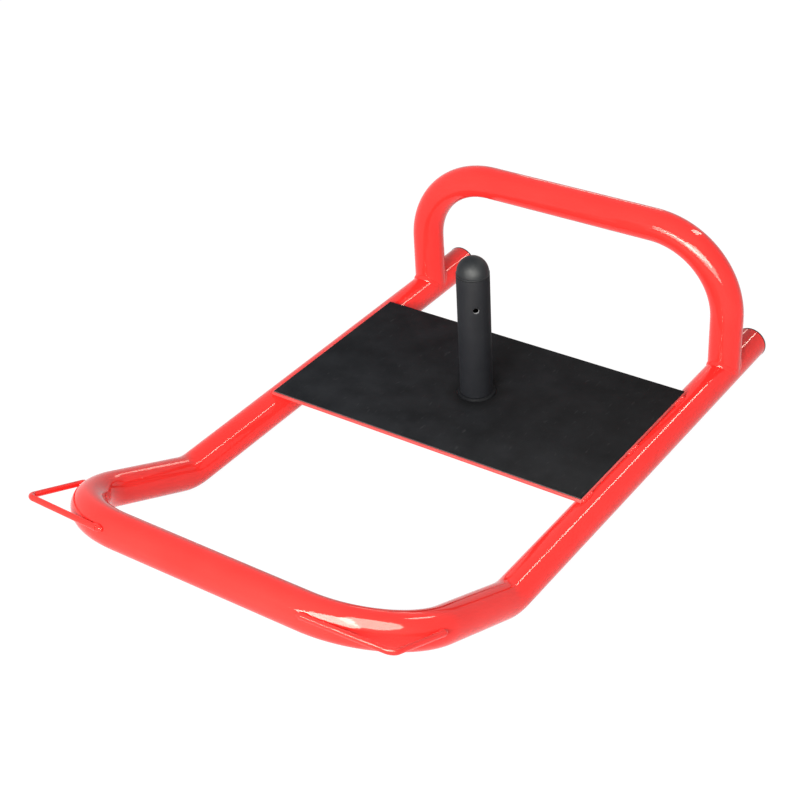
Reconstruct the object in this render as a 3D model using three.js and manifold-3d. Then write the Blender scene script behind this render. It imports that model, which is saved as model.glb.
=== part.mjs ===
// Drag sled in millimetres. +Z is up, -Y is the upturned nose, and the ground is z = 0.
// Left and right are those of the person who pushes it, so left is +X.

import * as THREE from 'three';
import { mergeVertices } from 'three/addons/utils/BufferGeometryUtils.js';
import Module from 'manifold-3d';

const wasm = await Module();
wasm.setup();

// Driving dimensions: one size of steel tube bends into the frame and into the push handle
const tube_diameter = 48;
const tube_wall = 2;
const runner_spacing = 517.5;
const runner_length = 690.5;
const nose_bend_radius = 81.5;
const nose_angle = THREE.MathUtils.degToRad(23.7);
const nose_length = 267.5;
const nose_corner_radius = 116.5;
const handle_setback = 90;
const handle_rise = 210.5;
const handle_corner_radius = 121;

// Driving dimensions: the deck plate across the runners and the rubber mat glued on it
const deck_length = 298;
const deck_thickness = 4;
const deck_side_inset = 2.75;
const deck_handle_clearance = 92.5;
const mat_thickness = 1.5;
const mat_margin = 2;
const glue_thickness = 0.2;

// Driving dimensions: the weight peg that stands in the middle of the deck
const peg_diameter = 47;
const peg_wall = 3;
const peg_height = 192;
const foot_ring_width = 4;
const foot_ring_height = 5;
const foot_ring_land = 2;
const pin_hole_diameter = 8;
const pin_hole_drop = 45;
const pin_hole_turn = THREE.MathUtils.degToRad(-49.5);
const cap_rim_height = 3.4;
const cap_dome_height = 23.6;
const cap_stem_length = 22;
const cap_wall = 3;

// Driving dimensions: the bolt from below that holds the peg down
const bolt_diameter = 12;
const bolt_head_across_flats = 18;
const bolt_head_height = 7.5;
const bolt_head_sides = 6;
const bolt_hole_clearance = 0.75;
const threaded_plug_height = 15;
const washer_diameter = 32;
const washer_thickness = 2.5;

// Driving dimensions: plastic plugs in the runners' rear ends
const plug_flange_thickness = 2;
const plug_flange_chamfer = 0.4;
const plug_stem_length = 24;
const plug_wall = 2.5;

// Driving dimensions: bent rod loops at the nose's two corners, where a tow strap clips on
const loop_rod_diameter = 8;
const loop_bend_radius = 11;
const loop_reach_out = 19;
const loop_reach_ahead = 21;
const loop_apex_lift = 5.5;
const loop_front_end_turn = THREE.MathUtils.degToRad(5.5);
const loop_front_end_lift = THREE.MathUtils.degToRad(10.5);
const loop_side_end_turn = THREE.MathUtils.degToRad(15);
const loop_side_end_lift = THREE.MathUtils.degToRad(14);

// Driving dimensions: weld beads
const handle_bead_radius = 4.5;
const handle_bead_side_sink = 3;
const deck_bead_radius = 5;
const deck_bead_length = 28;
const deck_bead_place_shares = { front: 0.055, middle: 0.47, rear: 0.93 };
const loop_bead_radius = 5.5;
const loop_bead_length = 17;

// Clearances: between pieces that are welded or seated, round what slides in, and past a cut
const seat_gap = 0.3;
const slide_gap = 0.4;
const cut_overrun = 1;

// How fine the round forms are
const tube_sides = 24;
const bore_sides = 16;
const lathe_sides = 32;
const rod_sides = 12;
const bead_sides = 8;
const bead_steps = 40;
const half_step_share = 0.5;
const bend_step = THREE.MathUtils.degToRad(7.5);
const dome_steps = 8;

// Places that follow from the dimensions. While it is built, y = 0 is where the runners turn up
// into the nose
const tube_radius = tube_diameter / 2;
const tube_bore_radius = tube_radius - tube_wall;
const runner_x = runner_spacing / 2;
const runner_z = tube_radius;
const handle_y = runner_length - handle_setback;
const deck_rear_y = handle_y - tube_radius - deck_handle_clearance;
const deck_front_y = deck_rear_y - deck_length;
const deck_y = (deck_front_y + deck_rear_y) / 2;
const deck_half_width = runner_x - deck_side_inset;
const deck_bottom_z = runner_z + tube_radius + seat_gap;
const deck_top_z = deck_bottom_z + deck_thickness;
const mat_bottom_z = deck_top_z + glue_thickness;
const peg_radius = peg_diameter / 2;
const peg_bore_radius = peg_radius - peg_wall;
const peg_bottom_z = deck_top_z + seat_gap;
const peg_top_z = peg_bottom_z + peg_height;
const foot_ring_radius = peg_radius + seat_gap + foot_ring_width;
const bolt_radius = bolt_diameter / 2;
const sides = [['left', 1], ['right', -1]];

// Finishes
const red_paint = () => new THREE.MeshStandardMaterial({ color: 0xf23b36, roughness: 0.22, metalness: 0 });
const black_paint = () => new THREE.MeshStandardMaterial({ color: 0x2c2d30, roughness: 0.5, metalness: 0 });
const mat_rubber = () => new THREE.MeshStandardMaterial({ color: 0x29292b, roughness: 0.75, metalness: 0 });
const cap_plastic = () => new THREE.MeshStandardMaterial({ color: 0x303134, roughness: 0.42, metalness: 0 });
const plug_plastic = () => new THREE.MeshStandardMaterial({ color: 0x1b1b1d, roughness: 0.5, metalness: 0 });
const zinc_steel = () => new THREE.MeshStandardMaterial({ color: 0xa9abad, roughness: 0.35, metalness: 1 });

const sled = new THREE.Group();

function add_piece(name, geometry, material) {
  const piece = new THREE.Mesh(geometry, material);
  piece.name = name;
  sled.add(piece);
}

// Joins and cuts: a closed mesh becomes a solid and comes back
function to_solid(geometry) {
  const bare = geometry.clone();
  bare.deleteAttribute('normal');
  bare.deleteAttribute('uv');
  const merged = mergeVertices(bare);
  const corners = merged.index.array;
  const faces = [];
  for (let i = 0; i < corners.length; i += 3) {
    const [a, b, c] = corners.slice(i, i + 3);
    if (a !== b && b !== c && c !== a) {
      faces.push(a, b, c);
    }
  }
  const vertProperties = merged.attributes.position.array;
  const triVerts = new Uint32Array(faces);
  return new wasm.Manifold(new wasm.Mesh({ numProp: 3, vertProperties, triVerts }));
}

function to_geometry(solid) {
  const mesh = solid.getMesh();
  const geometry = new THREE.BufferGeometry();
  geometry.setAttribute('position', new THREE.BufferAttribute(mesh.vertProperties, 3));
  geometry.setIndex(new THREE.BufferAttribute(mesh.triVerts, 1));
  geometry.computeVertexNormals();
  return geometry;
}

function cut(geometry, ...tools) {
  let solid = to_solid(geometry);
  for (const tool of tools) {
    solid = solid.subtract(to_solid(tool));
  }
  return to_geometry(solid);
}

// A bent tube's or rod's route: straight runs between corners, with a ring only where the route
// starts, ends or turns
class BentRoute extends THREE.Curve {
  constructor(corners, radii) {
    super();
    const last = corners.length - 1;
    const heading = (i) => corners[i + 1].clone().sub(corners[i]).normalize();
    this.stations = [{ point: corners[0], tangent: heading(0) }];
    for (let i = 1; i < last; i += 1) {
      this.add_bend(corners[i], heading(i - 1), heading(i), radii[i - 1]);
    }
    this.stations.push({ point: corners[last], tangent: heading(last - 1) });
  }

  add_bend(corner, incoming, outgoing, radius) {
    const turn = incoming.angleTo(outgoing);
    const axis = incoming.clone().cross(outgoing).normalize();
    const start = corner.clone().addScaledVector(incoming, -radius * Math.tan(turn / 2));
    const spoke = incoming.clone().cross(axis).multiplyScalar(radius);
    const centre = start.clone().sub(spoke);
    const steps = Math.ceil(turn / bend_step);
    for (let k = 0; k <= steps; k += 1) {
      const swing = new THREE.Quaternion().setFromAxisAngle(axis, turn * k / steps);
      const point = spoke.clone().applyQuaternion(swing).add(centre);
      const tangent = incoming.clone().applyQuaternion(swing);
      this.stations.push({ point, tangent });
    }
  }

  station(share) {
    return this.stations[Math.round(share * (this.stations.length - 1))];
  }

  getPointAt(share, target = new THREE.Vector3()) {
    return target.copy(this.station(share).point);
  }

  getTangentAt(share, target = new THREE.Vector3()) {
    return target.copy(this.station(share).tangent);
  }
}

function round_section(radius, bore_radius) {
  const section = new THREE.Shape().absarc(0, 0, radius, 0, 2 * Math.PI);
  if (bore_radius > 0) {
    const bore = [];
    for (let k = 0; k < bore_sides; k += 1) {
      const turn = 2 * Math.PI * k / bore_sides;
      bore.push(new THREE.Vector2(bore_radius * Math.cos(turn), bore_radius * Math.sin(turn)));
    }
    section.holes.push(new THREE.Path(bore.reverse()));
  }
  return section;
}

function along_route(route, radius, bore_radius, section_sides) {
  return new THREE.ExtrudeGeometry(round_section(radius, bore_radius), {
    steps: route.stations.length - 1,
    curveSegments: section_sides / 2,
    extrudePath: route,
  });
}

// A rod or a drill between two points
function straight_rod(start, end, radius, section_sides) {
  return along_route(new BentRoute([start, end], []), radius, 0, section_sides);
}

function turned(outline, section_sides = lathe_sides) {
  return new THREE.LatheGeometry(outline.map(([r, z]) => new THREE.Vector2(r, z)), section_sides)
    .rotateX(Math.PI / 2);
}

// A place on the nose, which slopes up from the runners: across, along the slope and square to it
function on_nose(across, along, above) {
  const y = above * Math.sin(nose_angle) - along * Math.cos(nose_angle);
  const z = runner_z + along * Math.sin(nose_angle) + above * Math.cos(nose_angle);
  return new THREE.Vector3(across, y, z);
}

// Frame: one tube bent into two runners, the sloping nose and the front bar
function frame_route() {
  const corners = [
    new THREE.Vector3(runner_x, runner_length, runner_z),
    on_nose(runner_x, 0, 0),
    on_nose(runner_x, nose_length, 0),
    on_nose(-runner_x, nose_length, 0),
    on_nose(-runner_x, 0, 0),
    new THREE.Vector3(-runner_x, runner_length, runner_z),
  ];
  return new BentRoute(corners, [nose_bend_radius, nose_corner_radius, nose_corner_radius, nose_bend_radius]);
}

const frame_outside = (growth) => along_route(frame_route(), tube_radius + growth, 0, tube_sides);

function frame_tube() {
  return along_route(frame_route(), tube_radius, tube_bore_radius, tube_sides);
}

// Push handle: a hoop of the same tube, its feet coped to sit on the runners
function handle_route() {
  const grip_z = runner_z + handle_rise;
  const corners = [
    new THREE.Vector3(runner_x, handle_y, runner_z),
    new THREE.Vector3(runner_x, handle_y, grip_z),
    new THREE.Vector3(-runner_x, handle_y, grip_z),
    new THREE.Vector3(-runner_x, handle_y, runner_z),
  ];
  return new BentRoute(corners, [handle_corner_radius, handle_corner_radius]);
}

const handle_outside = (growth) => along_route(handle_route(), tube_radius + growth, 0, tube_sides);

function push_handle() {
  const hoop = along_route(handle_route(), tube_radius, tube_bore_radius, tube_sides);
  return cut(hoop, frame_outside(seat_gap));
}

// Weld bead round a handle foot, along the line where the two tubes meet. It is drawn in at the
// runner's sides, where the tubes run into each other
function handle_weld(side) {
  const reach = tube_radius + seat_gap;
  const side_reach = reach - handle_bead_side_sink;
  const points = [];
  for (let k = 0; k < bead_steps; k += 1) {
    const turn = 2 * Math.PI * (k + half_step_share) / bead_steps;
    const z = Math.sqrt((reach + seat_gap) ** 2 - (reach * Math.cos(turn)) ** 2);
    points.push(new THREE.Vector3(
      side * runner_x + side_reach * Math.cos(turn),
      handle_y + reach * Math.sin(turn),
      runner_z + z,
    ));
  }
  const seam = new THREE.CatmullRomCurve3(points, true);
  const bead = new THREE.ExtrudeGeometry(round_section(handle_bead_radius, 0), {
    steps: bead_steps,
    curveSegments: bead_sides / 2,
    extrudePath: seam,
  });
  return cut(bead, frame_outside(2 * seat_gap), handle_outside(seat_gap));
}

// Deck: a flat plate across the runners with a clearance hole for the peg's bolt
function flat_plate(half_width, front_y, rear_y, bottom_z, thickness, hole_radius) {
  const outline = new THREE.Shape();
  outline.moveTo(-half_width, front_y);
  outline.lineTo(half_width, front_y);
  outline.lineTo(half_width, rear_y);
  outline.lineTo(-half_width, rear_y);
  outline.closePath();
  outline.holes.push(new THREE.Path().absarc(0, deck_y, hole_radius, 0, 2 * Math.PI, true));
  return new THREE.ExtrudeGeometry(outline, {
    depth: thickness,
    bevelEnabled: false,
    curveSegments: lathe_sides / 2,
  }).translate(0, 0, bottom_z);
}

function deck_plate() {
  const hole_radius = bolt_radius + bolt_hole_clearance;
  return flat_plate(
    deck_half_width, deck_front_y, deck_rear_y, deck_bottom_z, deck_thickness, hole_radius,
  );
}

function deck_mat() {
  const half_width = deck_half_width - mat_margin;
  const front_y = deck_front_y + mat_margin;
  const rear_y = deck_rear_y - mat_margin;
  return flat_plate(
    half_width, front_y, rear_y, mat_bottom_z, mat_thickness, foot_ring_radius + slide_gap,
  );
}

// Stitch weld along the plate's side edge, on the runner
function deck_weld(side, place_share) {
  const straight = deck_bead_length - 2 * deck_bead_radius;
  const y = deck_front_y + place_share * deck_length;
  const bead = new THREE.CapsuleGeometry(deck_bead_radius, straight, bead_sides / 2, 2 * bead_sides);
  bead.translate(side * deck_half_width, y, deck_bottom_z);
  const reach = deck_bead_length + cut_overrun;
  const plate = new THREE.BoxGeometry(
    2 * (deck_half_width + seat_gap), 2 * reach, deck_thickness + 2 * seat_gap,
  ).translate(0, y, deck_bottom_z + deck_thickness / 2);
  const below = new THREE.BoxGeometry(2 * (deck_half_width + seat_gap), 2 * reach, 2 * deck_bead_radius)
    .translate(0, y, deck_bottom_z - deck_bead_radius);
  const above = new THREE.BoxGeometry(2 * (deck_half_width + seat_gap), 2 * reach, 2 * deck_bead_radius)
    .translate(0, y, deck_top_z + deck_bead_radius);
  return cut(bead, plate, below, above, frame_outside(seat_gap));
}

// Weight peg: a plain tube on the deck, cross-drilled near its top for a locking pin
function weight_peg() {
  const tube = turned([
    [peg_bore_radius, peg_bottom_z],
    [peg_radius, peg_bottom_z],
    [peg_radius, peg_top_z],
    [peg_bore_radius, peg_top_z],
    [peg_bore_radius, peg_bottom_z],
  ]).translate(0, deck_y, 0);
  const across = new THREE.Vector3(Math.cos(pin_hole_turn), Math.sin(pin_hole_turn), 0)
    .multiplyScalar(peg_radius + cut_overrun);
  const middle = new THREE.Vector3(0, deck_y, peg_top_z - pin_hole_drop);
  const drill = straight_rod(
    middle.clone().sub(across), middle.clone().add(across), pin_hole_diameter / 2, bore_sides,
  );
  return cut(tube, drill);
}

// Foot ring: the collar that stiffens the peg's foot and spreads its load on the plate
function peg_foot_ring() {
  const inner = peg_radius + seat_gap;
  const top_z = peg_bottom_z + foot_ring_height;
  return turned([
    [inner, peg_bottom_z],
    [foot_ring_radius, peg_bottom_z],
    [foot_ring_radius, top_z - foot_ring_land],
    [foot_ring_radius - foot_ring_width / 2, top_z - foot_ring_land / 4],
    [inner, top_z],
    [inner, peg_bottom_z],
  ]).translate(0, deck_y, 0);
}

// Peg cap: a moulded dome whose hollow stem pushes into the tube
function peg_cap() {
  const rim_z = peg_top_z + seat_gap;
  const dome_z = rim_z + cap_rim_height;
  const stem_radius = peg_bore_radius - slide_gap;
  const stem_z = rim_z - cap_stem_length;
  const outline = [
    [0, rim_z],
    [stem_radius - cap_wall, rim_z],
    [stem_radius - cap_wall, stem_z],
    [stem_radius, stem_z],
    [stem_radius, rim_z],
    [peg_radius, rim_z],
  ];
  for (let k = 0; k <= dome_steps; k += 1) {
    const climb = Math.PI / 2 * k / dome_steps;
    const r = k === dome_steps ? 0 : peg_radius * Math.cos(climb);
    outline.push([r, dome_z + cap_dome_height * Math.sin(climb)]);
  }
  return turned(outline).translate(0, deck_y, 0);
}

// Threaded plug: the steel slug in the peg's foot that the bolt screws into
function peg_threaded_plug() {
  const inner = bolt_radius + seat_gap;
  const outer = peg_bore_radius - seat_gap;
  const top_z = peg_bottom_z + threaded_plug_height;
  return turned([
    [inner, peg_bottom_z],
    [outer, peg_bottom_z],
    [outer, top_z],
    [inner, top_z],
    [inner, peg_bottom_z],
  ]).translate(0, deck_y, 0);
}

const washer_top_z = deck_bottom_z - seat_gap;
const bolt_seat_z = washer_top_z - washer_thickness - seat_gap;

function peg_washer() {
  const inner = bolt_radius + seat_gap;
  const outer = washer_diameter / 2;
  const bottom_z = washer_top_z - washer_thickness;
  return turned([
    [inner, bottom_z],
    [outer, bottom_z],
    [outer, washer_top_z],
    [inner, washer_top_z],
    [inner, bottom_z],
  ]).translate(0, deck_y, 0);
}

// Hexagon bolt: head under the washer, shank up through plate and plug
function peg_bolt() {
  const corner_radius = bolt_head_across_flats / 2 / Math.cos(Math.PI / bolt_head_sides);
  const head = new THREE.CylinderGeometry(corner_radius, corner_radius, bolt_head_height, bolt_head_sides)
    .rotateX(Math.PI / 2).translate(0, deck_y, bolt_seat_z - bolt_head_height / 2);
  const shank_top_z = peg_bottom_z + threaded_plug_height;
  const shank_bottom_z = bolt_seat_z - bolt_head_height / 2;
  const shank = new THREE.CylinderGeometry(
    bolt_radius, bolt_radius, shank_top_z - shank_bottom_z, lathe_sides / 2,
  ).rotateX(Math.PI / 2).translate(0, deck_y, (shank_top_z + shank_bottom_z) / 2);
  return to_geometry(to_solid(head).add(to_solid(shank)));
}

// End plug: a chamfered flange against the runner's end and a hollow stem inside it
function rear_end_plug(side) {
  const flange_y = runner_length + seat_gap;
  const stem_radius = tube_bore_radius - slide_gap;
  const outline = [
    [0, 0],
    [stem_radius - plug_wall, 0],
    [stem_radius - plug_wall, -plug_stem_length],
    [stem_radius, -plug_stem_length],
    [stem_radius, 0],
    [tube_radius, 0],
    [tube_radius, plug_flange_thickness - plug_flange_chamfer],
    [tube_radius - plug_flange_chamfer, plug_flange_thickness],
    [0, plug_flange_thickness],
  ];
  return turned(outline, tube_sides).rotateX(-Math.PI / 2).translate(side * runner_x, flange_y, runner_z);
}

// Tow loop: a rod bent to a corner, its two ends lying on the nose's bend
function loop_end(side, turn, lift) {
  const contact = tube_radius + seat_gap + loop_rod_diameter / 2;
  const spoke = nose_corner_radius + contact * Math.cos(lift);
  const across = runner_x - nose_corner_radius + spoke * Math.cos(turn);
  const along = nose_length - nose_corner_radius + spoke * Math.sin(turn);
  return on_nose(side * across, along, contact * Math.sin(lift));
}

function loop_corners(side) {
  return [
    loop_end(side, Math.PI / 2 - loop_front_end_turn, loop_front_end_lift),
    on_nose(side * (runner_x + loop_reach_out), nose_length + loop_reach_ahead, loop_apex_lift),
    loop_end(side, loop_side_end_turn, loop_side_end_lift),
  ];
}

function tow_loop(side) {
  const route = new BentRoute(loop_corners(side), [loop_bend_radius]);
  return cut(along_route(route, loop_rod_diameter / 2, 0, rod_sides), frame_outside(seat_gap));
}

// Bead of weld that wraps one end of a tow loop and runs out on the nose
function loop_weld(side, end) {
  const [front, apex, rear] = loop_corners(side);
  const tip = end === 'front' ? front : rear;
  const heading = apex.clone().sub(tip).normalize();
  const bead = new THREE.SphereGeometry(loop_bead_radius, 2 * bead_sides, bead_sides);
  bead.scale(1, loop_bead_length / (2 * loop_bead_radius), 1);
  bead.applyQuaternion(new THREE.Quaternion().setFromUnitVectors(new THREE.Vector3(0, 1, 0), heading));
  bead.translate(...tip);
  const rod = straight_rod(
    tip.clone().addScaledVector(heading, -seat_gap),
    tip.clone().addScaledVector(heading, loop_bead_length),
    loop_rod_diameter / 2 + seat_gap,
    rod_sides,
  );
  return cut(bead, rod, frame_outside(seat_gap));
}

add_piece('frame_tube', frame_tube(), red_paint());
add_piece('push_handle', push_handle(), red_paint());
add_piece('deck_plate', deck_plate(), red_paint());
add_piece('deck_mat', deck_mat(), mat_rubber());
add_piece('weight_peg', weight_peg(), black_paint());
add_piece('peg_foot_ring', peg_foot_ring(), black_paint());
add_piece('peg_cap', peg_cap(), cap_plastic());
add_piece('peg_threaded_plug', peg_threaded_plug(), zinc_steel());
add_piece('peg_washer', peg_washer(), zinc_steel());
add_piece('peg_bolt', peg_bolt(), zinc_steel());
for (const [name, side] of sides) {
  add_piece(`rear_end_plug_${name}`, rear_end_plug(side), plug_plastic());
  add_piece(`handle_weld_${name}`, handle_weld(side), red_paint());
  add_piece(`tow_loop_${name}`, tow_loop(side), red_paint());
  for (const end of ['front', 'side']) {
    add_piece(`tow_loop_weld_${name}_${end}`, loop_weld(side, end), red_paint());
  }
  for (const [place, place_share] of Object.entries(deck_bead_place_shares)) {
    add_piece(`deck_weld_${name}_${place}`, deck_weld(side, place_share), red_paint());
  }
}

// The origin lies on the ground, under the middle of the whole sled
const extent = new THREE.Box3().setFromObject(sled);
sled.position.y = -extent.getCenter(new THREE.Vector3()).y;

export default sled;
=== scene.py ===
from math import ceil, cos, hypot, pi, radians, sin, tan

import bpy
from mathutils import Matrix, Vector


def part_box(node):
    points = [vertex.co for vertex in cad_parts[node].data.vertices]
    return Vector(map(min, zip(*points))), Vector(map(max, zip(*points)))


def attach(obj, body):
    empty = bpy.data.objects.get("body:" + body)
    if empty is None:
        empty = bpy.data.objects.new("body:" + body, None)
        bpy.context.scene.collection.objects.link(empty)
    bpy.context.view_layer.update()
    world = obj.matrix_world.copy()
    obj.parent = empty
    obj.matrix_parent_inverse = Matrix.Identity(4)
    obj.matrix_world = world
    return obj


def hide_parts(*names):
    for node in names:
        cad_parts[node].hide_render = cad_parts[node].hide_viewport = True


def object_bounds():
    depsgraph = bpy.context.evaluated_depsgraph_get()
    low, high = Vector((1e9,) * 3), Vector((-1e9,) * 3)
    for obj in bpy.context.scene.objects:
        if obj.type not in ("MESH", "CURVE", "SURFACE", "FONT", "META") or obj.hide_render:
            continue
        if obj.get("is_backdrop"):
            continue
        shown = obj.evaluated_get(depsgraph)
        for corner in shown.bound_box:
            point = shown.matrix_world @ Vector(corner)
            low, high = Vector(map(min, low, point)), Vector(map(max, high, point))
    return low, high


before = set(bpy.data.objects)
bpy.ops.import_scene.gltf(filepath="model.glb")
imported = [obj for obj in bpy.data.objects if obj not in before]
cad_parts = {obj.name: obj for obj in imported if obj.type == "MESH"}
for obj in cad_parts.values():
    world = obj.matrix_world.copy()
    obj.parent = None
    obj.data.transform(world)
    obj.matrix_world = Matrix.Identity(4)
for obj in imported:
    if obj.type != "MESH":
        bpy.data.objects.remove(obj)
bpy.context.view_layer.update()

# Camera: it stands before the nose, on the pusher's left, and looks down on the deck. Its place,
# its turn and its lens were solved from the outlines of the tubes in the photograph
camera_place = (1.12607, -1.56515, 1.38570)
camera_turn_degrees = (56.518, 3.0226, 34.7806)
camera_lens = 76.416
camera_turn = [radians(turn) for turn in camera_turn_degrees]
bpy.ops.object.camera_add(location=camera_place, rotation=camera_turn)
camera = bpy.context.object
camera.name = "camera"
camera.data.lens = camera_lens
bpy.context.scene.camera = camera
bpy.context.scene.view_settings.view_transform = "Standard"

# Studio: a roll of white paper on the floor under an even white sky. What is seen, by the
# camera or in the gloss, is white, and the paper still keeps a little of the sled's shadow
sky_level = 0.15
backdrop_level = 1
paper_width = 24
paper_colour = (0.6, 0.6, 0.6, 1)
paper_white_share = 0.88
paper_glow = 1.11
white = (1, 1, 1, 1)


def add_node(tree, kind, values=None, **settings):
    """A shader node with its settings. An input has a plain value or is fed by another node's output."""
    node = tree.nodes.new("ShaderNode" + kind)
    for name, value in settings.items():
        setattr(node, name, value)
    for name, value in (values or {}).items():
        if isinstance(value, bpy.types.NodeSocket):
            tree.links.new(value, node.inputs[name])
        else:
            node.inputs[name].default_value = value
    return node


def seen_directly(tree):
    """1 for rays from the camera and for those that gloss, metal and glass send on, else 0."""
    path = add_node(tree, "LightPath").outputs
    seen = add_node(tree, "Math", {0: path["Is Camera Ray"], 1: path["Is Glossy Ray"]}, operation="MAXIMUM")
    either = {0: seen.outputs[0], 1: path["Is Transmission Ray"]}
    return add_node(tree, "Math", either, operation="MAXIMUM").outputs[0]


world = bpy.data.worlds.new("studio")
world.use_nodes = True
bpy.context.scene.world = world
tree = world.node_tree
sky = add_node(tree, "Background", {"Color": white, "Strength": sky_level})
backdrop = add_node(tree, "Background", {"Color": white, "Strength": backdrop_level})
mixed = add_node(tree, "MixShader", {0: seen_directly(tree), 1: sky.outputs[0], 2: backdrop.outputs[0]})
tree.links.new(mixed.outputs[0], tree.nodes["World Output"].inputs["Surface"])

bpy.ops.object.select_all(action="DESELECT")
bpy.ops.mesh.primitive_plane_add(size=paper_width)
paper = bpy.context.object
paper.name = "paper_floor"
paper_material = bpy.data.materials.new("white_paper")
paper_material.use_nodes = True
tree = paper_material.node_tree
lit = add_node(tree, "BsdfDiffuse", {"Color": paper_colour})
glow = add_node(tree, "Emission", {"Color": white, "Strength": paper_glow})
share = add_node(tree, "Math", {0: seen_directly(tree), 1: paper_white_share}, operation="MULTIPLY")
mixed = add_node(tree, "MixShader", {0: share.outputs[0], 1: lit.outputs[0], 2: glow.outputs[0]})
tree.links.new(mixed.outputs[0], tree.nodes["Material Output"].inputs["Surface"])
paper.data.materials.append(paper_material)
paper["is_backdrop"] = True

# Lamps: azimuth 0 is behind the handle and 90 is on the pusher's left. Four large soft boxes light
# the sled. Small bright panels only shine, each hung where the paint shows its highlight
watts_for_brightness = 4
neutral_light = (1, 1, 1)
warm_shine = (1, 0.91, 0.78)
sled_middle = Vector((0, 0, 0.1))
soft_box_distance = 3.5
soft_boxes = {
    "lamp_in_front": {"azimuth": 170, "elevation": 30, "size": (1.6, 1.2), "brightness": 29.5},
    "lamp_beside": {"azimuth": 105, "elevation": 22, "size": (2.4, 1.6), "brightness": 2},
    "lamp_behind": {"azimuth": 10, "elevation": 25, "size": (2.2, 1.6), "brightness": 2},
    "lamp_other_side": {"azimuth": -100, "elevation": 22, "size": (2.4, 1.6), "brightness": 1.5},
}
nose_corner = {"aim": (0.2, -0.452, 0.145), "azimuth": 140, "elevation": 60, "distance": 0.45}
handle_corner = {"aim": (0.2, 0.37, 0.2), "azimuth": 176, "elevation": 3, "distance": 0.72}
over_runners = {"aim": (0.58, 1.45, 1.27), "azimuth": 90, "elevation": 78, "distance": 0}
low_behind = {"aim": (-0.25, -0.27, 0.08), "azimuth": -14.5, "elevation": 15.5, "distance": 3}
shine_panels = {
    "shine_nose_left": {**nose_corner, "shift": (-0.172, -0.07), "size": (0.43, 0.37), "brightness": 38},
    "shine_nose_right": {
        **nose_corner, "shift": (0.22, 0.01), "size": (0.58, 0.46), "brightness": 26.738, "shape": "ELLIPSE"
    },
    "shine_nose_end": {**nose_corner, "shift": (-0.54, 0.027), "size": (0.306, 0.135), "brightness": 42},
    "shine_handle": {**handle_corner, "shift": (0.14, 0.16), "size": (1.03, 0.32), "brightness": 16},
    "shine_along_runners": {**over_runners, "size": (1.3, 0.15), "brightness": 22},
    "shine_low_behind": {**low_behind, "size": (0.6, 0.2), "brightness": 5},
}


def hang_lamp(name, aim, azimuth, elevation, distance, size, brightness, shift=(0, 0), shape="RECTANGLE"):
    """A lamp in that direction from its aim, which it faces, shifted across and up in its own plane.
    A brightness of 1 is as white as the backdrop."""
    across, up = radians(azimuth), radians(elevation)
    away = Vector((sin(across) * cos(up), cos(across) * cos(up), sin(up)))
    facing = away.to_track_quat("Z", "Y")
    place = Vector(aim) + facing @ Vector((shift[0], shift[1], distance))
    bpy.ops.object.light_add(type="AREA", location=place, rotation=facing.to_euler())
    lamp = bpy.context.object
    lamp.name = name
    lamp.data.shape = shape
    lamp.data.size, lamp.data.size_y = size
    area = size[0] * size[1] * (pi / 4 if shape == "ELLIPSE" else 1)
    lamp.data.energy = brightness * watts_for_brightness * area
    lamp.visible_camera = False
    return lamp


for name, settings in soft_boxes.items():
    lamp = hang_lamp(name, sled_middle, distance=soft_box_distance, **settings)
    lamp.data.color = neutral_light
    lamp.visible_glossy = False
for name, settings in shine_panels.items():
    lamp = hang_lamp(name, **settings)
    lamp.data.color = warm_shine
    lamp.visible_diffuse = False

# Frame: one 48 mm steel tube with a 2 mm wall, bent cold into two runners, an upturned nose and a
# front bar, then powder coated in gloss red. It lies on the ground on its two runners
tube_sides = 96
bend_step = radians(2.5)
tube_wall = 0.002
nose_angle = radians(23.7)
nose_bend_radius = 0.0815
nose_corner_radius = 0.1165
red_tones = ((0.86, 0.027, 0.022, 1), (0.9, 0.033, 0.027, 1))
merge_distance = 0.00001
smooth_angle = radians(40)

plug_low, plug_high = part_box("rear_end_plug_left")
frame_low, frame_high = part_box("frame_tube")
tube_radius = (plug_high.x - plug_low.x) / 2
runner_x = (plug_high.x + plug_low.x) / 2
runner_z = tube_radius
runner_end_y = frame_high.y
front_bar_y = frame_low.y + tube_radius
front_bar_z = frame_high.z - tube_radius
nose_length = (front_bar_z - runner_z) / sin(nose_angle)
nose_start_y = front_bar_y + nose_length * cos(nose_angle)


def new_finish(material_name, roughness, specular=0.5):
    """A new material, its node tree, its surface node and the place on the piece that patterns read."""
    material = bpy.data.materials.new(material_name)
    material.use_nodes = True
    tree = material.node_tree
    surface = tree.nodes["Principled BSDF"]
    surface.inputs["Roughness"].default_value = roughness
    surface.inputs["Specular IOR Level"].default_value = specular
    place = add_node(tree, "TexCoord").outputs["Object"]
    return material, tree, surface, place


def noise(tree, place, size, detail=3, stretch=(1, 1, 1)):
    """Cloudy noise between 0 and 1, whose blobs are about that size in metres."""
    scaled = add_node(tree, "Mapping", {"Vector": place, "Scale": stretch})
    settings = {"Vector": scaled.outputs[0], "Scale": 1 / size, "Detail": detail}
    return add_node(tree, "TexNoise", settings).outputs["Fac"]


def blend(tree, factor, low, high, start=0.3, end=0.7):
    """Runs from one colour or value to another as the factor goes from start to end."""
    ramp = add_node(tree, "ValToRGB", {"Fac": factor})
    ramp.color_ramp.elements[0].position = start
    ramp.color_ramp.elements[1].position = end
    ramp.color_ramp.elements[0].color = low if isinstance(low, tuple) else (low, low, low, 1)
    ramp.color_ramp.elements[1].color = high if isinstance(high, tuple) else (high, high, high, 1)
    return ramp.outputs["Color"]


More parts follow.
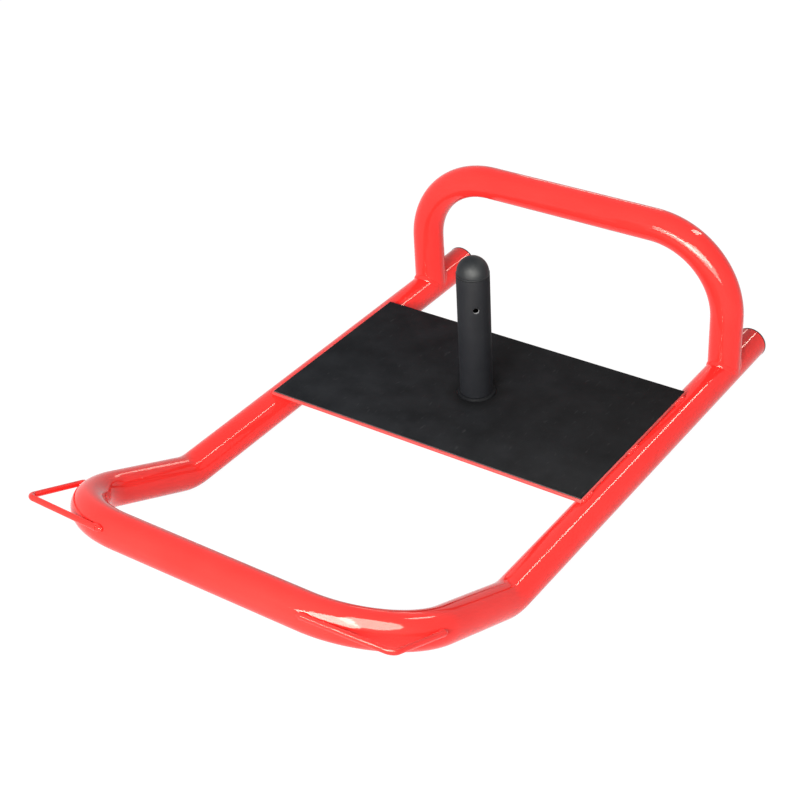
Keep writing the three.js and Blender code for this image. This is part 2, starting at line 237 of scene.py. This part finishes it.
def wear_surface(tree, surface, place, roughness, patch, grain, depth, patch_detail=3, grain_detail=2):
    """Lets the roughness drift in patches and raises a fine grain. Patch, grain and depth are in metres."""
    dull = blend(tree, noise(tree, place, patch, patch_detail), *roughness)
    tree.links.new(dull, surface.inputs["Roughness"])
    height = noise(tree, place, grain, grain_detail)
    bump = add_node(tree, "Bump", {"Height": height, "Distance": depth, "Strength": 1})
    tree.links.new(bump.outputs["Normal"], surface.inputs["Normal"])


red_coat, tree, surface, place = new_finish("red_powder_coat", roughness=0.08, specular=0.18)
shade = blend(tree, noise(tree, place, size=0.09, detail=2), *red_tones)
tree.links.new(shade, surface.inputs["Base Color"])
wear_surface(
    tree, surface, place, roughness=(0.055, 0.09), patch=0.03, grain=0.004, depth=0.000002,
    patch_detail=2, grain_detail=1
)


def bent_tube(name, corners, bend_radii, radius, sides):
    """A tube along straight runs, with a bend at each corner. Its ends are open."""
    headings = [(b - a).normalized() for a, b in zip(corners, corners[1:])]
    bpy.ops.object.select_all(action="DESELECT")
    facing = headings[0].to_track_quat("Z", "Y").to_euler()
    bpy.ops.mesh.primitive_circle_add(vertices=sides, radius=radius, location=corners[0], rotation=facing)
    tube = bpy.context.object
    tube.name = name
    bpy.ops.object.transform_apply(location=True, rotation=True, scale=True)
    bpy.ops.object.mode_set(mode="EDIT")
    bpy.ops.mesh.select_all(action="SELECT")
    reached = corners[0]
    for corner, incoming, outgoing, bend_radius in zip(corners[1:], headings, headings[1:], bend_radii):
        turn = incoming.angle(outgoing)
        axis = incoming.cross(outgoing).normalized()
        bend_start = corner - incoming * bend_radius * tan(turn / 2)
        bpy.ops.mesh.extrude_region_move(TRANSFORM_OT_translate={"value": bend_start - reached})
        centre = bend_start + axis.cross(incoming) * bend_radius
        bpy.ops.mesh.spin(steps=ceil(turn / bend_step), angle=-turn, center=centre, axis=axis)
        reached = corner + outgoing * bend_radius * tan(turn / 2)
    bpy.ops.mesh.extrude_region_move(TRANSFORM_OT_translate={"value": corners[-1] - reached})
    tidy_mesh()
    return tube


def tidy_mesh():
    """Ends an edit: merges what lies together and turns the faces outwards."""
    bpy.ops.mesh.select_all(action="SELECT")
    bpy.ops.mesh.remove_doubles(threshold=merge_distance)
    bpy.ops.mesh.normals_make_consistent(inside=False)
    bpy.ops.object.mode_set(mode="OBJECT")


def apply_modifier(piece, kind, **settings):
    """Adds a modifier with its settings and applies it."""
    bpy.context.view_layer.objects.active = piece
    modifier = piece.modifiers.new(kind.lower(), kind)
    for name, value in settings.items():
        setattr(modifier, name, value)
    bpy.ops.object.modifier_apply(modifier=modifier.name)


def finish_piece(piece, material, material_slot, *nodes):
    """Smooths and paints a piece, and puts it in the sled in place of its CAD nodes."""
    bpy.ops.object.select_all(action="DESELECT")
    piece.select_set(True)
    bpy.context.view_layer.objects.active = piece
    bpy.ops.object.shade_smooth_by_angle(angle=smooth_angle)
    piece.data.materials.clear()
    piece.data.materials.append(material)
    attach(piece, "root")
    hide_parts(*nodes)


frame_corners = [
    Vector((runner_x, runner_end_y, runner_z)),
    Vector((runner_x, nose_start_y, runner_z)),
    Vector((runner_x, front_bar_y, front_bar_z)),
    Vector((-runner_x, front_bar_y, front_bar_z)),
    Vector((-runner_x, nose_start_y, runner_z)),
    Vector((-runner_x, runner_end_y, runner_z)),
]
frame_bends = [nose_bend_radius, nose_corner_radius, nose_corner_radius, nose_bend_radius]
sled_frame = bent_tube("sled_frame", frame_corners, frame_bends, tube_radius, tube_sides)
apply_modifier(sled_frame, "SOLIDIFY", thickness=tube_wall, offset=-1, use_even_offset=True)
finish_piece(sled_frame, red_coat, "red_paint", "frame_tube")

# Push handle: a hoop of the same tube. Its two feet are coped to the runners' round before they
# are welded on, and it is coated with the frame
handle_corner_radius = 0.121
weld_gap = 0.0003

handle_low, handle_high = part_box("push_handle")
handle_y = (handle_low.y + handle_high.y) / 2
grip_z = handle_high.z - tube_radius


def cut_away(piece, tool, operation="DIFFERENCE"):
    """Cuts a piece by a tool, which is then thrown away."""
    apply_modifier(piece, "BOOLEAN", object=tool, operation=operation, solver="EXACT")
    bpy.data.objects.remove(tool)


def close_ends(piece):
    """Closes a piece's open ends with flat faces."""
    bpy.ops.object.select_all(action="DESELECT")
    bpy.context.view_layer.objects.active = piece
    bpy.ops.object.mode_set(mode="EDIT")
    bpy.ops.mesh.select_all(action="SELECT")
    bpy.ops.mesh.fill_holes(sides=0)
    tidy_mesh()


def frame_outside(growth):
    """The frame's outside as a solid, grown or shrunk by a little, to cut with."""
    solid = bent_tube("frame_outside", frame_corners, frame_bends, tube_radius + growth, tube_sides)
    close_ends(solid)
    return solid


handle_corners = [
    Vector((runner_x, handle_y, runner_z)),
    Vector((runner_x, handle_y, grip_z)),
    Vector((-runner_x, handle_y, grip_z)),
    Vector((-runner_x, handle_y, runner_z)),
]
hoop = bent_tube("handle_hoop", handle_corners, [handle_corner_radius] * 2, tube_radius, tube_sides)
apply_modifier(hoop, "SOLIDIFY", thickness=tube_wall, offset=-1, use_even_offset=True)
cut_away(hoop, frame_outside(weld_gap))
finish_piece(hoop, red_coat, "red_paint", "push_handle")

# Handle welds: a bead laid round each foot, drop by drop, along the saddle where the two tubes
# meet. The coat has run into it and rounded it off
both_sides = {"left": 1, "right": -1}
handle_bead_half_sizes = (0.003, 0.0068, 0.0032)
handle_bead_drops = 84
handle_bead_side_sink = 0.003
handle_bead_sink_falloff = 4
seam_corner_rounding = 0.0025
drop_segments = 16
drop_rings = 8
bead_grain = 0.0006
bead_smoothing = 4
fusion_depth = 0.0004


def lay_bead(name, drops, half_sizes):
    """A weld bead of drops that run together. A drop has a centre, the way it runs, the way it faces
    and its share of the full size."""
    bpy.ops.object.select_all(action="DESELECT")
    bpy.ops.object.add(type="MESH")
    bead = bpy.context.object
    bead.name = name
    bpy.ops.object.mode_set(mode="EDIT")
    for centre, run, out, share in drops:
        facing = Matrix((run, out.cross(run), out)).transposed().to_euler()
        scale = [share * half for half in half_sizes]
        bpy.ops.mesh.primitive_uv_sphere_add(
            segments=drop_segments, ring_count=drop_rings, radius=1,
            location=centre, rotation=facing, scale=scale
        )
    bpy.ops.object.mode_set(mode="OBJECT")
    apply_modifier(bead, "REMESH", mode="VOXEL", voxel_size=bead_grain)
    apply_modifier(bead, "SMOOTH", iterations=bead_smoothing)
    return bead


def handle_seam(side):
    """The drops of the saddle weld. Towards the runner's sides the bead sinks in between the tubes."""
    drops = []
    for k in range(handle_bead_drops):
        turn = 2 * pi * k / handle_bead_drops
        around = Vector((cos(turn), sin(turn), 0))
        climb = hypot(tube_radius * sin(turn), seam_corner_rounding)
        foot = Vector((side * runner_x, handle_y, runner_z + climb))
        run = Vector((-sin(turn), cos(turn), tube_radius * sin(turn) * cos(turn) / climb)).normalized()
        out = (around + Vector((cos(turn), 0, abs(sin(turn))))).normalized()
        out = (out - run * out.dot(run)).normalized()
        sink = handle_bead_side_sink * cos(turn) ** handle_bead_sink_falloff
        drops.append((foot + around * tube_radius - out * sink, run, out, 1))
    return drops


for name, side in both_sides.items():
    bead = lay_bead(f"saddle_weld_{name}", handle_seam(side), handle_bead_half_sizes)
    foot = [Vector((side * runner_x, handle_y, z)) for z in (runner_z, grip_z - handle_corner_radius)]
    leg = bent_tube("handle_leg", foot, [], tube_radius - fusion_depth, tube_sides)
    close_ends(leg)
    cut_away(bead, leg)
    cut_away(bead, frame_outside(-fusion_depth))
    finish_piece(bead, red_coat, "red_paint", f"handle_weld_{name}")

# Tow loops: an 8 mm rod bent to a corner at each of the nose's corners. A strap's hook goes in
# between rod and tube. Each end lies on the tube's outside under a blob of weld
loop_bend_radius = 0.011
loop_reach_out = 0.019
loop_reach_ahead = 0.021
loop_apex_lift = 0.0055
loop_rod_radius = 0.004
loop_rod_sides = 32
loop_end_turns = {"front": pi / 2 - radians(5.5), "side": radians(15)}
loop_end_lifts = {"front": radians(10.5), "side": radians(14)}
loop_bead_half_sizes = (0.0032, 0.0054, 0.0052)
loop_bead_shares = {
    -0.006: 0.6, -0.0035: 0.8, -0.001: 0.95, 0.0015: 1, 0.004: 0.97, 0.0065: 0.85, 0.0085: 0.72
}


def on_nose(across, along, above):
    """A place on the nose, which slopes up from the runners: across, along the slope and square to it."""
    y = nose_start_y - along * cos(nose_angle) + above * sin(nose_angle)
    z = runner_z + along * sin(nose_angle) + above * cos(nose_angle)
    return Vector((across, y, z))


def loop_end(side, end):
    """Where a rod's end lies on the outside of the nose's bend."""
    contact = tube_radius + loop_rod_radius
    turn, lift = loop_end_turns[end], loop_end_lifts[end]
    spoke = nose_corner_radius + contact * cos(lift)
    across = runner_x - nose_corner_radius + spoke * cos(turn)
    along = nose_length - nose_corner_radius + spoke * sin(turn)
    return on_nose(side * across, along, contact * sin(lift))


def off_nose(side, end):
    """The way out from the tube's middle line at a rod's end."""
    turn, lift = loop_end_turns[end], loop_end_lifts[end]
    level = on_nose(side * cos(turn), sin(turn), 0) - on_nose(0, 0, 0)
    upright = on_nose(0, 0, 1) - on_nose(0, 0, 0)
    return (level * cos(lift) + upright * sin(lift)).normalized()


for name, side in both_sides.items():
    apex = on_nose(side * (runner_x + loop_reach_out), nose_length + loop_reach_ahead, loop_apex_lift)
    loop_corners = [loop_end(side, "front"), apex, loop_end(side, "side")]
    rod = bent_tube(f"tow_rod_{name}", loop_corners, [loop_bend_radius], loop_rod_radius, loop_rod_sides)
    close_ends(rod)
    cut_away(rod, frame_outside(-fusion_depth))
    finish_piece(rod, red_coat, "red_paint", f"tow_loop_{name}")
    for end, tip in {"front": loop_corners[0], "side": loop_corners[2]}.items():
        run = (apex - tip).normalized()
        out = off_nose(side, end)
        out = (out - run * out.dot(run)).normalized()
        seat = tip - out * loop_rod_radius / 2
        drops = [(seat + run * along, run, out, share) for along, share in loop_bead_shares.items()]
        blob = lay_bead(f"rod_weld_{name}_{end}", drops, loop_bead_half_sizes)
        cut_away(blob, frame_outside(-fusion_depth))
        finish_piece(blob, red_coat, "red_paint", f"tow_loop_weld_{name}_{end}")

# Deck plate: 4 mm sheet steel laid across both runners and drilled for the peg's bolt. It is
# coated with the frame, and its cut edges show red all round under the mat. Their red is a darker,
# pinker copy of the frame's: painted shade with a painted reflection
deck_edge_rounding = 0.0005
deck_edge_shaded_tones = ((0.54, 0.065, 0.06, 1), (0.6, 0.085, 0.078, 1))
bolt_hole_radius = 0.00675
sharp_angle = radians(50)

deck_low, deck_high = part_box("deck_plate")
deck_y = (deck_low.y + deck_high.y) / 2


def round_edges(piece, width, segments):
    """Rounds a piece's sharp edges by that width."""
    apply_modifier(
        piece, "BEVEL", width=width, segments=segments, limit_method="ANGLE", angle_limit=sharp_angle
    )


def flat_sheet(name, low, high, hole_radius, rounding):
    """A flat sheet between two corners, with a round hole at the peg and rounded edges."""
    bpy.ops.object.select_all(action="DESELECT")
    bpy.ops.mesh.primitive_cube_add(size=1, location=(low + high) / 2, scale=high - low)
    sheet = bpy.context.object
    sheet.name = name
    bpy.ops.object.transform_apply(location=True, rotation=True, scale=True)
    drill_path = [Vector((0, deck_y, low.z - hole_radius)), Vector((0, deck_y, high.z + hole_radius))]
    drill = bent_tube("sheet_drill", drill_path, [], hole_radius, tube_sides)
    close_ends(drill)
    cut_away(sheet, drill)
    round_edges(sheet, rounding, segments=3)
    bpy.ops.object.shade_smooth_by_angle(angle=smooth_angle)
    apply_modifier(sheet, "WEIGHTED_NORMAL", keep_sharp=True)
    return sheet


# The frame's red made darker and pinker: painted shade and a painted reflection on the plate's edges
shaded_edge_coat, tree, surface, place = new_finish("thin_red_coat_painted_shade", roughness=0.4, specular=0.15)
shade = blend(tree, noise(tree, place, size=0.03), *deck_edge_shaded_tones)
tree.links.new(shade, surface.inputs["Base Color"])
wear_surface(tree, surface, place, roughness=(0.34, 0.48), patch=0.01, grain=0.0012, depth=0.00005)

plate = flat_sheet("deck_sheet", deck_low, deck_high, bolt_hole_radius, deck_edge_rounding)
finish_piece(plate, shaded_edge_coat, "red_paint", "deck_plate")

# Deck welds: three short stitches of weld on each side, laid where the plate's edge rests on the
# crown of the runner. They are all that holds the deck, and are coated with the frame
stitch_half_sizes = (0.0026, 0.0038, 0.0038)
stitch_drop_spacing = 0.0024
stitch_end_share = 0.8

for name, side in both_sides.items():
    for place in ("front", "middle", "rear"):
        low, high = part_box(f"deck_weld_{name}_{place}")
        length = high.y - low.y - 2 * stitch_half_sizes[0]
        count = ceil(length / stitch_drop_spacing)
        edge_x = side * deck_high.x
        out = Vector((side, 0, 1)).normalized()
        drops = []
        for k in range(count + 1):
            y = low.y + stitch_half_sizes[0] + length * k / count
            share = 1 if 0 < k < count else stitch_end_share
            drops.append((Vector((edge_x, y, deck_low.z)), Vector((0, 1, 0)), out, share))
        stitch = lay_bead(f"stitch_weld_{name}_{place}", drops, stitch_half_sizes)
        bar_ends = (low.y - tube_radius, high.y + tube_radius)
        bar_path = [Vector((side * runner_x, end_y, runner_z)) for end_y in bar_ends]
        bar = bent_tube("runner_bar", bar_path, [], tube_radius - fusion_depth, tube_sides)
        close_ends(bar)
        cut_away(stitch, bar)
        finish_piece(stitch, red_coat, "red_paint", f"deck_weld_{name}_{place}")

# Deck mat: a thin sheet of grained black rubber, glued on the plate and cut out round the peg's
# foot. It is scuffed along the sled. Its colour carries painted light and shade: lighter in front
# and on the right, darker towards the rear and the left, and darker round the peg's foot
mat_edge_rounding = 0.0004
mat_hole_radius = 0.0282
mat_tones = ((0.0042, 0.0048, 0.0059, 1), (0.0094, 0.0103, 0.012, 1))
mat_tone_range = (0.32, 0.68)
painted_light_front_to_rear = (1.1, 0.78)
painted_light_right_to_left = (1.45, 0.88)
peg_shade_reach = (0.028, 0.05)
peg_shade_levels = (0.55, 1)
scuff_tone = (0.032, 0.033, 0.035, 1)
scuff_cover = (0, 0.6)
scuff_range = (0.63, 0.78)
fray_and_highlight_tone = (0.09, 0.07, 0.07, 1)
fray_and_highlight_cover = (0.8, 0)
fray_and_highlight_reach = (0.0002, 0.0006)

mat_low, mat_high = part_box("deck_mat")


def map_range(tree, value, span, levels):
    """Goes from one level to another as a value crosses a span, and stays level on each side of it."""
    start, end = span
    low, high = levels
    settings = {"Value": value, "From Min": start, "From Max": end, "To Min": low, "To Max": high}
    return add_node(tree, "MapRange", settings).outputs[0]


def lay_over(tree, share, below, above, blend_type="MIX"):
    """Lays a share of one colour over another, or multiplies the two."""
    layers = {0: share, 6: below, 7: above}
    return add_node(tree, "Mix", layers, data_type="RGBA", blend_type=blend_type).outputs[2]


rubber, tree, surface, place = new_finish("grained_rubber", roughness=0.8, specular=0.04)
spot = add_node(tree, "SeparateXYZ", {0: place}).outputs
peg_foot = (0, deck_y, mat_high.z)
from_peg = add_node(tree, "VectorMath", {0: place, 1: peg_foot}, operation="DISTANCE").outputs["Value"]
front_edge = [mat_low.y + reach for reach in fray_and_highlight_reach]
# Painted light and shade: lighter in front and on the right, darker at the rear and the left, and painted
# shade round the peg's foot
painted_shade_shares = [
    map_range(tree, spot["Y"], (mat_low.y, mat_high.y), painted_light_front_to_rear),
    map_range(tree, spot["X"], (mat_low.x, mat_high.x), painted_light_right_to_left),
    map_range(tree, from_peg, peg_shade_reach, peg_shade_levels),
]
scuffs = noise(tree, place, size=0.006, detail=4, stretch=(1, 0.3, 1))
shade = blend(tree, noise(tree, place, size=0.05, detail=6), *mat_tones, *mat_tone_range)
for painted_share in painted_shade_shares:
    shade = lay_over(tree, 1, shade, painted_share, blend_type="MULTIPLY")
shade = lay_over(tree, blend(tree, scuffs, *scuff_cover, *scuff_range), shade, scuff_tone)
# A pale band along the front edge: fraying of the rubber, and a painted highlight on the lit edge
shade = lay_over(tree, map_range(tree, spot["Y"], front_edge, fray_and_highlight_cover), shade, fray_and_highlight_tone)
tree.links.new(shade, surface.inputs["Base Color"])
wear_surface(tree, surface, place, roughness=(0.68, 0.8), patch=0.02, grain=0.0007, depth=0.0001)

mat = flat_sheet("rubber_mat", mat_low, mat_high, mat_hole_radius, mat_edge_rounding)
finish_piece(mat, rubber, "mat_rubber", "deck_mat")

# Bolt, washer and threaded plug: zinc plated steel. The bolt comes up through the plate from
# below and screws into the slug that is welded in the peg's foot
lathe_sides = 96
small_rounding = 0.0004
bolt_head_sides = 6
bolt_head_across_flats = 0.018
bolt_head_height = 0.0075
bolt_head_chamfer = 0.0012
bolt_radius = 0.006
thread_gap = 0.0003
zinc_tones = ((0.36, 0.37, 0.38, 1), (0.47, 0.47, 0.46, 1))


def turned(name, outline, centre, sides=lathe_sides):
    """A piece turned on a lathe: rings of a radius and a height, each drawn out of the last one.
    An outline that comes back to its start is a ring, and else its first and last ring are closed."""
    bpy.ops.object.select_all(action="DESELECT")
    radius, height = outline[0]
    start = centre + Vector((0, 0, height))
    bpy.ops.mesh.primitive_circle_add(vertices=sides, radius=radius, location=start)
    piece = bpy.context.object
    piece.name = name
    bpy.ops.object.transform_apply(location=True, rotation=True, scale=True)
    bpy.ops.object.mode_set(mode="EDIT")
    bpy.ops.mesh.select_all(action="SELECT")
    for next_radius, next_height in outline[1:]:
        bpy.ops.mesh.extrude_region_move(TRANSFORM_OT_translate={"value": (0, 0, next_height - height)})
        ratio = next_radius / radius
        bpy.ops.transform.resize(value=(ratio, ratio, 1), center_override=centre)
        radius, height = next_radius, next_height
    tidy_mesh()
    close_ends(piece)
    return piece


def ring_outline(box, inner):
    """The section of a plain ring that fills a node's box round a hole."""
    low, high = box
    outer = (high.x - low.x) / 2
    return [(inner, low.z), (outer, low.z), (outer, high.z), (inner, high.z), (inner, low.z)]


zinc, tree, surface, place = new_finish("zinc_plate", roughness=0.32)
surface.inputs["Metallic"].default_value = 1
shade = blend(tree, noise(tree, place, size=0.006, detail=4), *zinc_tones)
tree.links.new(shade, surface.inputs["Base Color"])
wear_surface(tree, surface, place, roughness=(0.24, 0.42), patch=0.002, grain=0.0006, depth=0.00002)

peg_middle = Vector((0, deck_y, 0))
plug_box, washer_box, bolt_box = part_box("peg_threaded_plug"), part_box("peg_washer"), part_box("peg_bolt")

slug = turned("threaded_slug", ring_outline(plug_box, bolt_radius + thread_gap), peg_middle)
round_edges(slug, small_rounding, segments=2)
finish_piece(slug, zinc, "zinc_steel", "peg_threaded_plug")

washer = turned("flat_washer", ring_outline(washer_box, bolt_radius + thread_gap), peg_middle)
round_edges(washer, small_rounding, segments=2)
finish_piece(washer, zinc, "zinc_steel", "peg_washer")

bolt_bottom, bolt_top = bolt_box[0].z, bolt_box[1].z
head_top = bolt_bottom + bolt_head_height
corner_radius = bolt_head_across_flats / 2 / cos(pi / bolt_head_sides)
head_outline = [(corner_radius, bolt_bottom), (corner_radius, head_top)]
hexagon = turned("hexagon_bolt", head_outline, peg_middle, sides=bolt_head_sides)
crown_outline = [
    (corner_radius - bolt_head_chamfer, bolt_bottom - small_rounding),
    (corner_radius + small_rounding, bolt_bottom + bolt_head_chamfer),
    (corner_radius + small_rounding, head_top + small_rounding),
]
cut_away(hexagon, turned("head_crown", crown_outline, peg_middle), "INTERSECT")
shank_outline = [
    (bolt_radius, head_top - small_rounding),
    (bolt_radius, bolt_top - small_rounding),
    (bolt_radius - small_rounding, bolt_top),
]
cut_away(hexagon, turned("shank", shank_outline, peg_middle), "UNION")
finish_piece(hexagon, zinc, "zinc_steel", "peg_bolt")

# Weight peg: a 47 mm steel tube that stands in the middle of the deck, in satin black. It is
# cross-drilled near the top for a locking pin, and the hole's rims are countersunk. A pale ring
# round each rim is worn bare steel with a painted glint
peg_wall = 0.003
peg_rim_rounding = 0.0007
peg_tones = ((0.0094, 0.0104, 0.0127, 1), (0.0122, 0.0133, 0.0158, 1))
pin_hole_radius = 0.004
pin_hole_rim = 0.0007
pin_hole_drop = 0.045
pin_hole_turn = radians(-49.5)
pin_drill_sides = 48
bare_and_glint_tone = (0.2, 0.2, 0.2, 1)
bare_and_glint_reach = (0.0042, 0.0047)

peg_low, peg_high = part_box("weight_peg")
peg_radius = (peg_high.x - peg_low.x) / 2
hole_middle = Vector((0, deck_y, peg_high.z - pin_hole_drop))
hole_axis = Vector((cos(pin_hole_turn), sin(pin_hole_turn), 0))

satin_black, tree, surface, place = new_finish("satin_black_coat", roughness=0.6, specular=0.05)
from_middle = add_node(tree, "VectorMath", {0: place, 1: hole_middle}, operation="SUBTRACT")
off_axis = add_node(tree, "VectorMath", {0: from_middle.outputs[0], 1: hole_axis}, operation="CROSS_PRODUCT")
from_axis = add_node(tree, "VectorMath", {0: off_axis.outputs[0]}, operation="LENGTH").outputs["Value"]
shade = blend(tree, noise(tree, place, size=0.03), *peg_tones)
# Pale ring round the pin hole: bare steel, and a painted glint
shade = lay_over(tree, map_range(tree, from_axis, bare_and_glint_reach, (1, 0)), shade, bare_and_glint_tone)
tree.links.new(shade, surface.inputs["Base Color"])
wear_surface(tree, surface, place, roughness=(0.55, 0.66), patch=0.012, grain=0.0012, depth=0.00003)

post = turned("peg_tube", ring_outline((peg_low, peg_high), peg_radius - peg_wall), peg_middle)
round_edges(post, peg_rim_rounding, segments=3)
drill_outline = [
    (pin_hole_radius + peg_wall, -peg_radius - peg_wall),
    (pin_hole_radius + pin_hole_rim, -peg_radius + pin_hole_rim / 2),
    (pin_hole_radius, -peg_radius + 2 * pin_hole_rim),
    (pin_hole_radius, peg_radius - 2 * pin_hole_rim),
    (pin_hole_radius + pin_hole_rim, peg_radius - pin_hole_rim / 2),
    (pin_hole_radius + peg_wall, peg_radius + peg_wall),
]
pin_drill = turned("pin_drill", drill_outline, Vector((0, 0, 0)), sides=pin_drill_sides)
pin_drill.rotation_euler = hole_axis.to_track_quat("Z", "Y").to_euler()
pin_drill.location = hole_middle
cut_away(post, pin_drill)
finish_piece(post, satin_black, "black_paint", "weight_peg")

# Foot ring: a low steel collar round the peg's foot, welded to it and rounded over on top. It
# spreads the peg's load on the plate. Its black coat is duller than the peg's, and darker as
# painted shade at the foot
ring_gap = 0.0002
ring_round_height = 0.0035
ring_round_steps = 8
ring_top_land = 0.00001
ring_shaded_tones = ((0.0045, 0.0051, 0.0063, 1), (0.007, 0.0077, 0.009, 1))

ring_low, ring_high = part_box("peg_foot_ring")
ring_radius = (ring_high.x - ring_low.x) / 2
ring_inner = peg_radius + ring_gap
ring_shoulder_z = ring_high.z - ring_round_height
collar_outline = [(ring_inner, ring_low.z), (ring_radius, ring_low.z)]
for k in range(ring_round_steps + 1):
    climb = pi / 2 * k / ring_round_steps
    radius = ring_inner + ring_top_land + (ring_radius - ring_inner) * cos(climb)
    collar_outline.append((radius, ring_shoulder_z + ring_round_height * sin(climb)))
collar_outline.append((ring_inner, ring_low.z))

ring_shaded_black, tree, surface, place = new_finish("ring_black_coat_painted_shade", roughness=0.7, specular=0.03)
# A darker black than the peg's: painted shade at the peg's foot
shade = blend(tree, noise(tree, place, size=0.02), *ring_shaded_tones)
tree.links.new(shade, surface.inputs["Base Color"])
wear_surface(tree, surface, place, roughness=(0.64, 0.76), patch=0.008, grain=0.0012, depth=0.00004)

collar = turned("foot_collar", collar_outline, peg_middle)
finish_piece(collar, ring_shaded_black, "black_paint", "peg_foot_ring")

# Peg cap: a moulded dome of black plastic. Its hollow stem is pushed into the tube and its rim
# sits on the tube's end, where a fine seam shows. The seam's darkness is painted shade along the
# cap's foot
cap_rim_height = 0.0034
cap_stem_length = 0.022
cap_wall = 0.003
cap_slide = 0.0004
cap_shoulder = 0.0008
cap_dome_steps = 24
cap_tones = ((0.0045, 0.0054, 0.0066, 1), (0.0072, 0.0083, 0.0096, 1))
cap_shine_tint = (0.85, 0.92, 1, 1)
seam_shade_tone = (0.001, 0.001, 0.001, 1)
seam_shade_reach = (0.0008, 0.0013)

cap_low, cap_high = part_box("peg_cap")
cap_rim_z = cap_low.z + cap_stem_length
cap_stem_radius = peg_radius - peg_wall - cap_slide
dome_z = cap_rim_z + cap_rim_height
dome_radius = peg_radius - cap_shoulder

moulded, tree, surface, place = new_finish("moulded_cap", roughness=0.53, specular=0.18)
surface.inputs["Specular Tint"].default_value = cap_shine_tint
spot = add_node(tree, "SeparateXYZ", {0: place}).outputs
seam_shade_edge = [cap_rim_z + reach for reach in seam_shade_reach]
shade = blend(tree, noise(tree, place, size=0.02), *cap_tones)
# Painted shade: the cap's foot, at the seam, is near black
shade = lay_over(tree, map_range(tree, spot["Z"], seam_shade_edge, (0, 1)), seam_shade_tone, shade)
tree.links.new(shade, surface.inputs["Base Color"])
wear_surface(tree, surface, place, roughness=(0.52, 0.6), patch=0.006, grain=0.0009, depth=0.00002)

cap_outline = [
    (cap_stem_radius - cap_wall, cap_rim_z),
    (cap_stem_radius - cap_wall, cap_low.z),
    (cap_stem_radius, cap_low.z),
    (cap_stem_radius, cap_rim_z),
    (peg_radius - small_rounding, cap_rim_z),
    (peg_radius, cap_rim_z + small_rounding),
    (peg_radius, dome_z - cap_shoulder / 2),
]
for k in range(cap_dome_steps):
    climb = pi / 2 * k / cap_dome_steps
    cap_outline.append((dome_radius * cos(climb), dome_z + (cap_high.z - dome_z) * sin(climb)))
cap_outline.append((0, cap_high.z))
cap = turned("dome_cap", cap_outline, peg_middle)
finish_piece(cap, moulded, "cap_plastic", "peg_cap")

# Rear end plugs: moulded in black plastic with a hollow stem, which is pushed into the runner's
# open rear end as far as a thin flange. The flange is a hair wider than the tube
plug_stem_length = 0.024
plug_stem_wall = 0.0025
plug_slide = 0.0004
plug_face_shares = [(1.012, 0), (1.012, 0.75), (1.005, 0.92), (0.985, 1), (0, 1)]
plug_tones = ((0.007, 0.006, 0.006, 1), (0.01, 0.009, 0.009, 1))

plug_plastic, tree, surface, place = new_finish("plug_plastic", roughness=0.5, specular=0.1)
shade = blend(tree, noise(tree, place, size=0.02), *plug_tones)
tree.links.new(shade, surface.inputs["Base Color"])
wear_surface(tree, surface, place, roughness=(0.4, 0.52), patch=0.006, grain=0.0008, depth=0.00002)

for name, side in both_sides.items():
    low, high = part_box(f"rear_end_plug_{name}")
    flange = high.y - low.y - plug_stem_length
    stem_radius = tube_radius - tube_wall - plug_slide
    outline = [
        (stem_radius - plug_stem_wall, 0),
        (stem_radius - plug_stem_wall, -plug_stem_length),
        (stem_radius, -plug_stem_length),
        (stem_radius, 0),
    ]
    outline += [(tube_radius * radius, flange * height) for radius, height in plug_face_shares]
    plug = turned(f"end_plug_{name}", outline, Vector((0, 0, 0)))
    plug.rotation_euler = (-pi / 2, 0, 0)
    plug.location = (side * runner_x, high.y - flange, runner_z)
    bpy.ops.object.transform_apply(location=True, rotation=True, scale=True)
    finish_piece(plug, plug_plastic, "plug_plastic", f"rear_end_plug_{name}")

# Sizes: the finished model's box is measured, leaving out the paper floor
low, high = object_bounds()
